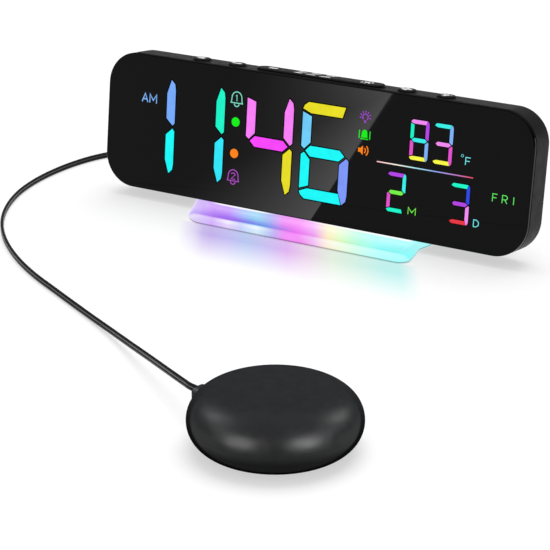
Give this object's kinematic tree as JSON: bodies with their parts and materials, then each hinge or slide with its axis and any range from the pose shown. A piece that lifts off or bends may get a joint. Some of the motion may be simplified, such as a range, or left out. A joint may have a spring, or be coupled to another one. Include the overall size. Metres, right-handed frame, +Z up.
{
  "type": "alarm clock with bed shaker",
  "caption": "Slim leaning digital alarm clock with a row of top buttons on a lit base plate, wired to a round vibrating bed shaker that lies on the table in front of it.",
  "frame": {"origin": "centre of the underside of the clock's base plate, on the table", "axes": "+Z up, the display faces -Y and leans back towards +Y, +X to the right of someone reading the display"},
  "size_m": [0.3137, 0.3402, 0.0758],
  "materials": {
    "lens": "polished black smoked panel",
    "housing": "fine moulded texture",
    "button": "soft matte with printed marks",
    "reflector": "white moulded",
    "board": "solder mask on fibreglass",
    "glow": "frosted light guide",
    "rubber": "matte",
    "switch": "moulded",
    "steel": "plated",
    "magnet": "sintered",
    "paper": "pressed paper",
    "brass": "plain",
    "shaker": "fine spark-eroded texture",
    "cord": "satin"
  },
  "bodies": {
    "body": {"front_lens": "lens", "display_reflector": "reflector", "display_board": "board", "main_housing": "housing", "rear_cover": "housing", "rear_cover_screw_1": "steel", "rear_cover_screw_2": "steel", "rear_cover_screw_3": "steel", "rear_cover_screw_4": "steel", "main_board": "board", "speaker_frame": "steel", "speaker_magnet": "magnet", "button_board": "board", "alarm_switch": "switch", "down_switch": "switch", "snooze_switch": "switch", "up_switch": "switch", "light_switch": "switch", "coin_cell": "steel", "battery_contact": "steel", "power_socket": "switch", "power_socket_pin": "brass", "shaker_socket": "switch", "light_board": "board", "light_base": "glow", "base_screw_1": "steel", "base_screw_2": "steel", "base_pad_1": "rubber", "base_pad_2": "rubber", "base_pad_3": "rubber", "base_pad_4": "rubber", "shaker_top_shell": "shaker", "shaker_bottom_shell": "shaker", "shaker_motor": "steel", "motor_cradle": "rubber", "shaker_screw_1": "steel", "shaker_screw_2": "steel", "shaker_screw_3": "steel", "shaker_pad": "rubber", "strain_relief": "shaker", "shaker_cord": "cord", "shaker_plug": "cord", "shaker_plug_pin": "brass"},
    "alarm_key": {"alarm_button": "button", "alarm_switch_plunger": "switch"},
    "down_key": {"down_button": "button", "down_switch_plunger": "switch"},
    "snooze_key": {"snooze_button": "button", "snooze_switch_plunger": "switch"},
    "up_key": {"up_button": "button", "up_switch_plunger": "switch"},
    "light_key": {"light_button": "button", "light_switch_plunger": "switch"},
    "door": {"battery_door": "housing"},
    "cone": {"speaker_cone": "paper"},
    "rotor": {"motor_shaft": "steel", "eccentric_weight": "brass"}
  },
  "joints": [
    {"name": "alarm_press", "type": "slide", "parent": "body", "child": "alarm_key", "axis": [0, -0.1219, -0.9925], "range_m": [0, 0.0005], "stiffness_N_per_m": 800},
    {"name": "down_press", "type": "slide", "parent": "body", "child": "down_key", "axis": [0, -0.1219, -0.9925], "range_m": [0, 0.0005], "stiffness_N_per_m": 800},
    {"name": "snooze_press", "type": "slide", "parent": "body", "child": "snooze_key", "axis": [0, -0.1219, -0.9925], "range_m": [0, 0.0005], "stiffness_N_per_m": 800},
    {"name": "up_press", "type": "slide", "parent": "body", "child": "up_key", "axis": [0, -0.1219, -0.9925], "range_m": [0, 0.0005], "stiffness_N_per_m": 800},
    {"name": "light_press", "type": "slide", "parent": "body", "child": "light_key", "axis": [0, -0.1219, -0.9925], "range_m": [0, 0.0005], "stiffness_N_per_m": 800},
    {"name": "door_twist", "type": "hinge", "parent": "body", "child": "door", "pos_m": [-0.012, 0.02071, 0.03693], "axis": [0, 0.9925, -0.1219], "range_deg": [0, 45]},
    {"name": "cone_stroke", "type": "slide", "parent": "body", "child": "cone", "axis": [0, 0.9925, -0.1219], "range_m": [-0.0004, 0.0004], "stiffness_N_per_m": 500},
    {"name": "weight_spin", "type": "hinge", "parent": "body", "child": "rotor", "pos_m": [0.1182, -0.23185, 0.0125], "axis": [0.9816, -0.1908, 0], "continuous": true}
  ]
}
